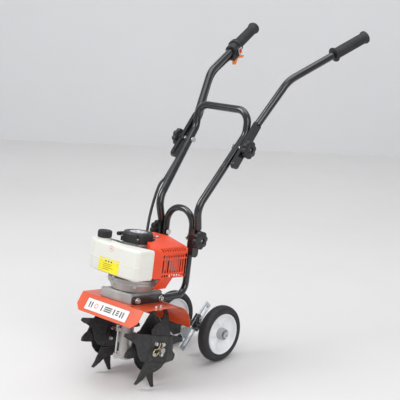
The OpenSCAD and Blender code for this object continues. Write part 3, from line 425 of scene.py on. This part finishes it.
# ---------- carried-over CAD nodes ----------
def dress(node, width):
    """The CAD node's own shape with its edges softened."""
    me = NODES[node].data.copy()
    bm = bmesh.new()
    bm.from_mesh(me)
    bmesh.ops.remove_doubles(bm, verts=bm.verts, dist=2e-6)
    bmesh.ops.dissolve_limit(bm, angle_limit=math.radians(0.6), verts=bm.verts, edges=bm.edges)
    bm.to_mesh(me)
    bm.free()
    shade(me)
    me.materials.clear()
    me.materials.append(MATS[SLOT_OF[node]])
    for p in me.polygons:
        p.material_index = 0
    o = bpy.data.objects.new(node + "_looks", me)
    bpy.context.collection.objects.link(o)
    if width:
        add_bevel(o, width)
    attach(o, BODY_OF[node])
    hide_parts(node)
    return o


# CAD nodes shown in their own shape, with the width of their softened edges in metres
SOFTENED = {
    "base_block": 0.0012, "fender": 0.0005, "gear_case": 0.0008, "clutch_housing": 0.001,
    "crankcase": 0.0008,
    "tine_left": 0.0005, "tine_right": 0.0005, "tine_hubs": 0.0006, "cylinder_cover": 0.0008,
    "air_filter_cover": 0.003, "air_filter_box": 0.0015, "carburetor": 0.001, "muffler": 0.003,
    "tail_bracket": 0.0006, "adjuster_bar": 0.0005, "wheel_saddle": 0.0008, "throttle_housing": 0.001,
    "throttle_trigger": 0.0012, "kill_switch": 0.0006, "starter_housing": 0.0009, "chassis_bolts": 0.0004,
    "axle_nuts": 0.0004, "tine_bolts": 0.0004, "engine_screws": 0.0004, "starter_grip": 0.001,
    "choke_lever": 0.0006, "upper_pivot_bolts": 0.0005,
}


def carry_over():
    """Softens the listed nodes and gives every node its slot's material."""
    for node, width in SOFTENED.items():
        dress(node, width)
    for node, o in NODES.items():
        o.data.materials.clear()
        o.data.materials.append(MATS[SLOT_OF[node]])


# ---------- fuel tank ----------
TANK_Z, TANK_H = 191, 84
TANK_BACK, TANK_BAY_R = -46.6, 50  # rear face, and the round bay that the engine stands in
FACE_LEFT, FACE_RIGHT = (-71, -106), (91, -111)  # ends of the flat front face
CAP = (-62, -82)


def fuel_tank():
    """Moulded shell with a seam round its middle and the neck that the cap closes."""
    half = math.sqrt(TANK_BAY_R ** 2 - (TANK_BACK - SHAFT_Y) ** 2)
    start = math.atan2(TANK_BACK - SHAFT_Y, half)
    arc = [(TANK_BAY_R * math.cos(a), SHAFT_Y + TANK_BAY_R * math.sin(a))
           for a in (start + (-math.pi - 2 * start) * k / 16 for k in range(17))]
    corners = [(-113, TANK_BACK), (-113, -86), FACE_LEFT, FACE_RIGHT, (101, -101), (101, TANK_BACK)]
    outline = rounded(corners, [4, 16, 18, 10, 9, 4]) + [Vector(p) for p in arc]
    top = TANK_Z + TANK_H
    mid = TANK_Z + 0.44 * TANK_H
    seam = [(mid - 1.4, 0), (mid - 0.8, -0.7), (mid + 0.8, -0.7), (mid + 1.4, 0)]
    body = stack(outline, quarter(8, TANK_Z, -1) + seam + quarter(8, top, 1))
    neck = lathe([(0, top - 2), (18.5, top - 2), (17.6, top + 1), (17.2, top + 4.8), (15.6, top + 5.4),
                  (15, top + 6), (15, top + 10.5), (14, top + 11), (12, top + 11), (0, top + 10)])
    neck.transform(Matrix.Translation((*CAP, 0)))
    piece("tank_shell", merge(body, neck), STANCE, "tank_plastic", "chassis", ["fuel_tank"], angle=30)


def face_frame():
    """Matrix of the tank's front face: x along it, y up, z out of it, from its left end."""
    a, b = Vector((*FACE_LEFT, 0)), Vector((*FACE_RIGHT, 0))
    x = (b - a).normalized()
    y = Vector((0, 0, 1))
    m = Matrix((x, y, x.cross(y))).transposed().to_4x4()
    m.translation = a
    return STANCE @ m


def rect(x0, y0, x1, y1, radius=1.0):
    return rounded([(x0, y0), (x1, y0), (x1, y1), (x0, y1)], radius, 3)


def ink(name, colour):
    """Printed colour."""
    return finish(name, colour, 0.9, 1.06, 0, (0.4, 0.55), 40, 900, 0.05)


def tank_label():
    """Plain label with bars in place of its print, and a ring above it."""
    at = face_frame()
    yellow = ink("label_yellow", (0.93, 0.8, 0.02))
    dark = ink("label_ink", (0.03, 0.03, 0.02))
    faint = ink("label_red", (0.85, 0.3, 0.22))
    x0, z0, wide, tall = 23, 195, 81, 38
    piece("tank_label", slab(rect(x0, z0, x0 + wide, z0 + tall), 0.05, 0.45, 0.15, 1), at, "tank_plastic",
          "chassis", material=yellow)
    marks = [slab(rect(x0 + 26 + 11 * k, z0 + 28, x0 + 31 + 11 * k, z0 + 32, 0.8), 0.4, 0.6, 0.05, 1)
             for k in range(3)]
    for k, length in enumerate((36, 30, 40, 26)):
        y = z0 + 22 - 5 * k
        marks.append(slab(rect(x0 + 18, y, x0 + 18 + length, y + 1.1, 0.3), 0.4, 0.6, 0.05, 1))
    piece("tank_label_bars", merge(*marks), at, "tank_plastic", "chassis", material=dark)
    ring = lathe([(8.5, 0.05), (8.5, 0.4), (7.6, 0.4), (7.6, 0.05)], 48, closed=True)
    ring.transform(Matrix.Translation((68, 262, 0)))
    dot = lathe([(0, 0.4), (2.4, 0.4), (2.6, 0.05)], 24)
    dot.transform(Matrix.Translation((68, 262, 0)))
    piece("tank_ring", merge(ring, dot), at, "tank_plastic", "chassis", material=faint)


def fuel_cap():
    """Screw cap with ribs round its side and a finger bar across its top."""
    base = TANK_Z + TANK_H + 6
    ribs = 30

    def ribbed(a, r, z):
        if r < 17 or z > base + 18.5:
            return r, z
        wave = 0.5 + 0.5 * math.cos(a * ribs)
        return r - 1.3 * (1 - wave ** 0.5), z

    bm = lathe([(15.4, base + 8), (15.4, base + 0.2), (18.2, base + 0.2), (19.2, base + 1),
                (19.6, base + 3), (19.8, base + 10), (19.6, base + 16), (18.8, base + 18.3),
                (17, base + 19.4), (13, base + 19.8),
                (12.4, base + 18.6), (0, base + 18.4)], 300, ribbed)
    bar = slab(rect(-12.5, -3, 12.5, 3, 2.6), base + 17, base + 20, 0.8)
    both = merge(bm, bar)
    both.transform(Matrix.Translation((*CAP, 0)))
    piece("cap_ribbed", both, STANCE, "black_plastic", "fuel_cap", ["fuel_cap"], angle=45)


# ---------- starter ----------
STARTER_TOP = 306  # flat top of the starter housing, in STANCE


def starter_details():
    """Round plate on the starter's top and the ribs round its side, left out at the four screws."""
    top = STARTER_TOP
    at = STANCE @ Matrix.Translation((0, SHAFT_Y, 0))
    silver = finish("starter_disc", (0.78, 0.79, 0.8), 0.92, 1.05, 0.85, (0.22, 0.34), 30, 600, 0.1)
    disc = lathe([(0, top + 0.1), (7, top + 0.1), (7.6, top - 0.5), (9, top - 0.5), (9.8, top + 0.3),
                  (21.5, top + 0.3), (23.4, top), (24.4, top - 0.8), (24.4, top - 1.1), (0, top - 1.1)], 96)
    piece("starter_disc", disc, at, "cast_alloy", "chassis", material=silver)
    ribs = []
    for k in range(44):
        a = 2 * math.pi * k / 44
        past_screw = (a - math.pi / 4) % (math.pi / 2)
        if min(past_screw, math.pi / 2 - past_screw) < 0.22:
            continue
        rib = slab(rect(-0.7, -1.4, 0.9, 1.4, 0.5), 281, 300, 0.4, 1)
        rib.transform(Matrix.Rotation(a, 4, "Z") @ Matrix.Translation((42, 0, 0)))
        ribs.append(rib)
    piece("starter_ribs", merge(*ribs), at, "black_plastic", "chassis")


# ---------- wheels ----------
TYRE_R, RIM_R, TYRE_X, TYRE_W = 83, 61.7, 112, 33


def wheels():
    """Tyre, spoked rim and hub, with z running outwards from the middle of the tyre."""
    h = TYRE_W / 2
    tread = [(RIM_R - 1, -h + 4), (RIM_R + 0.5, -h + 2.2), (RIM_R + 3.5, -h + 1.2), (RIM_R + 8, -h + 0.3),
             (RIM_R + 12, -h + 0.3), (TYRE_R - 5.4, -h + 2.4), (TYRE_R - 2.6, -h + 5.2),
             (TYRE_R - 0.9, -h + 9), (TYRE_R - 0.15, -h + 13)]
    profile = tread + [(r, -z) for r, z in reversed(tread)]

    def spoked(a, r, z):
        if z < -6 or not 20 < r < RIM_R - 7.5:
            return r, z
        across = 0.5 + 0.5 * math.cos(6 * a)
        along = math.sin(math.pi * (r - 19) / (RIM_R - 7 - 19)) ** 0.7
        return r, z - 8.5 * along * across ** 1.2

    dish = [(17.4, 3.6), (18.6, 2.6), (22, 1.6), (26, 1.1), (30, 1), (34, 1.2), (38, 1.6), (42, 2.2),
            (46, 2.9), (50, 3.7), (RIM_R - 9, 4.4), (RIM_R - 7.2, 6), (RIM_R - 6, 11), (RIM_R - 5.2, 15),
            (RIM_R - 4, 16), (RIM_R - 2, 15.8), (RIM_R - 1.2, 14.6), (RIM_R - 1.05, 12),
            (RIM_R - 1.05, -12), (RIM_R - 2, -13.6), (RIM_R - 5, -14), (RIM_R - 6.4, -5), (30, -8),
            (17.4, -8)]
    hub_out = 115.8 - (TYRE_X - h)
    hub_in = 78 - (TYRE_X - h)
    hub = [(5.1, hub_in), (16.5, hub_in), (17.4, hub_in + 1), (17.4, hub_out - 1.2), (16.4, hub_out),
           (13, hub_out), (12.2, hub_out - 0.6), (12, hub_out - 3), (5.1, hub_out - 3)]
    hub_grey = finish("hub_grey", (0.42, 0.43, 0.44), 0.9, 1.06, 0, (0.35, 0.5), 20, 900, 0.1)
    for side, name in ((1, "left"), (-1, "right")):
        joint = JOINTS["wheel_spin_" + name]["pos_m"]
        at = Matrix.Translation((0, joint[1], joint[2])) @ Matrix.Scale(side, 4, (1, 0, 0)) \
            @ Matrix.Translation(((TYRE_X - h) * MM, 0, 0)) @ Matrix.Rotation(math.pi / 2, 4, "Y") \
            @ Matrix.Scale(MM, 4)
        piece("tyre_round_" + name, lathe(profile, 144, closed=True), at, "tyre_rubber", "wheel_" + name,
              ["tyre_" + name], angle=40)
        piece("rim_spoked_" + name, lathe(dish, 144, spoked, closed=True), at, "white_rim", "wheel_" + name,
              ["rim_" + name], angle=40)
        piece("hub_" + name, lathe(hub, 72, closed=True), at, "white_rim", "wheel_" + name, angle=40,
              material=hub_grey)


# ---------- knobs and grips ----------
def knob_mesh():
    """Eight-lobed star knob, with z running out from its inner face."""
    def lobed(a, r, z):
        if r < 15:
            return r, z
        lobe = abs(math.cos(4 * a)) ** 0.75
        return r * (0.82 + 0.18 * lobe), z
    return lathe([(4.2, 0.2), (12.5, 0.2), (13, 1), (13, 4), (15.5, 4.4), (24, 4.6), (26, 5.6), (26.9, 8),
                  (26.9, 15), (26.2, 17.4), (24.4, 18.8), (20, 19.6), (17, 20.4), (14.5, 22.6), (13, 23.7),
                  (9, 24), (7.3, 23.6), (6.6, 22.6), (6.5, 18), (4.2, 18)], 192, lobed)


def knobs():
    for level in ("lower", "upper"):
        for side, name in ((1, "left"), (-1, "right")):
            node = f"knob_{level}_{name}"
            lo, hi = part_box(node)
            joint = JOINTS[f"knob_turn_{level}_{name}"]["pos_m"]
            face = lo.x if side > 0 else hi.x
            at = aim((face, joint[1], joint[2]), (side, 0, 0)) @ Matrix.Scale(MM, 4)
            piece(node + "_star", knob_mesh(), at, "knob_plastic", node, [node], angle=42)
            end = lathe([(0, 22.4), (2.6, 22.2), (3.4, 21.6), (3.9, 20.6), (3.9, 18.5)], 32)
            body = "chassis" if level == "lower" else "handle_middle"
            tip = (93 if level == "lower" else 142.2) * MM
            cap = aim((side * (tip - 0.0228), joint[1], joint[2]), (side, 0, 0)) @ Matrix.Scale(MM, 4)
            piece(node + "_bolt_end", end, cap, "zinc_bolts", body)


# Left handlebar's bend and end, in GROUND, and the length of its grip
BAR_BEND, BAR_END, GRIP_LEN = Vector((150, 482, 810)), Vector((216.2, 763.5, 925.7)), 133


def grip_axis(side):
    """Inner end of a grip and the direction along it; side is 1 for the left, -1 for the right."""
    mirror = Matrix.Scale(side, 3, (1, 0, 0))
    d = mirror @ (BAR_END - BAR_BEND).normalized()
    return mirror @ BAR_END - d * (GRIP_LEN - 3), d


def grips():
    """Rubber sleeves with a flange at the inner end and rows of ribs."""
    ribs = 20

    def knurl(a, r, z):
        if 9 < z < GRIP_LEN - 12 and r > 14:
            return r - 0.55 * (0.5 - 0.5 * math.cos(16 * a)) ** 2, z
        return r, z
    sleeve = [(11.1, 0.2), (20.5, 0.2), (22, 1), (22.3, 2.4), (21.6, 4), (18.4, 5), (16.6, 6.4), (16.4, 8)]
    pitch = (GRIP_LEN - 22) / ribs
    for i in range(ribs):
        z = 9 + i * pitch
        sleeve += [(15.7, z), (15.7, z + 0.9), (16.5, z + 1.5), (16.6, z + 0.5 * pitch + 0.6),
                   (16.5, z + pitch - 0.9), (15.7, z + pitch - 0.3)]
    end = GRIP_LEN
    sleeve += [(16.2, end - 11.5), (17.6, end - 9.6), (19.4, end - 7), (19.9, end - 4.4), (19.2, end - 1.8),
               (17, end - 0.5), (12, end), (5, end), (3.4, end - 1), (0, end - 1.2)]
    for side, name in ((1, "left"), (-1, "right")):
        start, d = grip_axis(side)
        at = GROUND @ aim(start, d, (0, 0, -1))
        piece("grip_ribbed_" + name, lathe(sleeve, 128, knurl), at, "grip_rubber", "handlebar_" + name,
              ["grip_" + name], angle=48)


def throttle_details():
    """Band round the throttle housing and the pale frame of the stop switch."""
    start, d = grip_axis(-1)
    at = GROUND @ aim(start, d, (0, 0, -1))
    white = finish("switch_plate", (0.8, 0.8, 0.78), 0.94, 1.04, 0, (0.3, 0.4), 30, 900, 0.08)
    band = lathe([(18.2, -41), (18.5, -40.5), (18.5, -38.6), (18.2, -38)], 72)
    piece("housing_band", band, at, "black_plastic", "handlebar_right")
    # the face that the switch sits in, on the left bar and then mirrored: x downwards, z out of the face
    left_start, left_d = grip_axis(1)
    housing = GROUND @ Matrix.Scale(-1, 4, (1, 0, 0)) @ Matrix.Translation(left_start) \
        @ Matrix.Rotation(math.atan2(left_d.y, left_d.x), 4, "Z") \
        @ Matrix.Rotation(math.acos(left_d.z), 4, "Y") \
        @ Matrix.Translation((0, 24, 0)) @ Matrix.Rotation(-math.pi / 2, 4, "X")
    bars = [slab(rect(x0, y0, x1, y1, 0.6), 0.02, 0.8, 0.2, 1)
            for x0, y0, x1, y1 in ((-3.5, 12.5, 15.5, 14.8), (-3.5, 31.2, 15.5, 33.5),
                                   (-3.5, 12.5, -1.2, 33.5), (13.2, 12.5, 15.5, 33.5))]
    piece("switch_plate", merge(*bars), housing, "black_plastic", "handlebar_right", material=white)


# ---------- throttle cable ----------
# Route in GROUND with x as the distance from the middle, for each of the three CAD pieces
UPPER = [(180.3, 611, 841.6), (168.8, 561.8, 824.5), (152, 497, 796), (136, 450, 742), (117, 402.4, 678.2),
         (117, 347, 618), (117, 292.6, 558.4)]
MIDDLE = [(110, 246, 518), (96, 203.5, 498.9)]
LOWER = [(93, 168, 425), (72, 132, 364), (50, 117, 347)]


def cable():
    """Two sleeves, each running across one fold of the handle."""
    def flip(points):
        return [(-x, y, z) for x, y, z in points]

    mid = MIDDLE[0]
    upper = tube(flip(UPPER + [mid]), 4.1, 20, 16)
    lower = tube(flip([mid] + [MIDDLE[1]] + LOWER), 4.1, 20, 16)
    for name, bm, bodies, ends, nodes in (
            ("cable_top", upper, ("handlebar_right", "handle_middle"), ((117, 392, 668), (117, 300, 568)),
             ["cable_upper"]),
            ("cable_bottom", lower, ("handle_middle", "chassis"), ((104, 222, 505), (86, 158, 405)),
             ["cable_middle", "cable_lower"])):
        me = bpy.data.meshes.new(name)
        bm.to_mesh(me)
        bm.free()
        shade(me, 60)
        o = bpy.data.objects.new(name, me)
        bpy.context.collection.objects.link(o)
        o.matrix_world = GROUND
        me.materials.append(MATS["cable_sleeve"])
        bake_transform(o)
        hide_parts(*nodes)


# ---------- fender sticker ----------
def fender_sticker():
    """Plain white strip on the fender's lip, with bars and a ring in place of its print."""
    fold, edge = Vector((0, -87.6, 113.6)), Vector((0, -113, 69.6))
    down = (edge - fold).normalized()
    x = Vector((1, 0, 0))
    out = x.cross(-down)
    m = Matrix((x, -down, out)).transposed().to_4x4()
    m.translation = fold + out * 1.0
    at = STANCE @ m
    white = ink("sticker_white", (0.86, 0.86, 0.84))
    dark = ink("sticker_ink", (0.04, 0.04, 0.04))
    red = ink("sticker_red", (0.8, 0.16, 0.1))
    piece("sticker", slab(rect(-84, -42, 78, -9, 1.5), 0, 0.5, 0.15, 1), at, "orange_paint", "chassis",
          material=white)
    z0, z1 = 0.45, 0.7
    bars = [slab(rect(x0, -34, x0 + w, -17, 1.2), z0, z1, 0.05, 1)
            for x0, w in ((-72, 4), (-63, 4), (-24, 4), (24, 4), (50, 4), (59, 4))]
    for x0, wide in ((-12, 28), (34, 10)):
        bars += [slab(rect(x0, y, x0 + wide, y + 3.2, 0.6), z0, z1, 0.05, 1) for y in (-32, -26.5, -21)]
    piece("sticker_bars", merge(*bars), at, "orange_paint", "chassis", material=dark)
    ring = lathe([(7, z0), (7, z1), (5.2, z1), (5.2, z0)], 40, closed=True)
    ring.transform(Matrix.Translation((-44, -25.5, 0)))
    piece("sticker_ring", ring, at, "orange_paint", "chassis", material=red)


# ---------- stage ----------
def stage():
    """Pale floor, and a pale wall well behind the machine."""
    floor = finish("floor", (0.72, 0.71, 0.70), 0.97, 1.02, 0, (0.5, 0.62), 1.2, 60, 0.04)
    wall = finish("wall", (0.71, 0.71, 0.72), 0.98, 1.02, 0, (0.8, 0.9), 1.0, 40, 0.04)
    for name, mat, rows in (("floor", floor, [(-6, 0), (3.2, 0)]),
                            ("wall", wall, [(3.2, -0.01), (3.2, 6)])):
        bm = bmesh.new()
        a = [bm.verts.new((x, rows[0][0], rows[0][1])) for x in (-9, 9)]
        b = [bm.verts.new((x, rows[1][0], rows[1][1])) for x in (9, -9)]
        bm.faces.new(a + b)
        me = bpy.data.meshes.new(name)
        bm.to_mesh(me)
        bm.free()
        me.materials.append(mat)
        o = bpy.data.objects.new(name, me)
        bpy.context.collection.objects.link(o)
        if name == "wall":
            o.matrix_world = Matrix.Rotation(math.radians(35), 4, "Z")


def light(name, place, target, size, power):
    data = bpy.data.lights.new(name, "AREA")
    data.shape = "RECTANGLE"
    data.size, data.size_y = size
    data.energy = power
    o = bpy.data.objects.new(name, data)
    bpy.context.collection.objects.link(o)
    o.matrix_world = aim(place, Vector(place) - Vector(target))


def lights():
    light("key", (-1.6, -2.6, 3.2), (0, 0, 0.4), (2.2, 1.6), 80)
    light("fill", (3.2, -1.6, 2.0), (0, 0, 0.4), (2.4, 2.0), 46)
    light("overhead", (0.2, 0.2, 3.6), (0, 0, 0.2), (3, 3), 60)
    world = bpy.data.worlds.new("world")
    bpy.context.scene.world = world
    world.use_nodes = True
    world.node_tree.nodes["Background"].inputs["Color"].default_value = (0.93, 0.95, 1, 1)
    world.node_tree.nodes["Background"].inputs["Strength"].default_value = 0.5
    bpy.context.scene.view_settings.view_transform = "Standard"
    bpy.context.scene.view_settings.look = "None"


camera()
carry_over()
fuel_tank()
tank_label()
fuel_cap()
starter_details()
wheels()
knobs()
grips()
throttle_details()
cable()
fender_sticker()
stage()
lights()
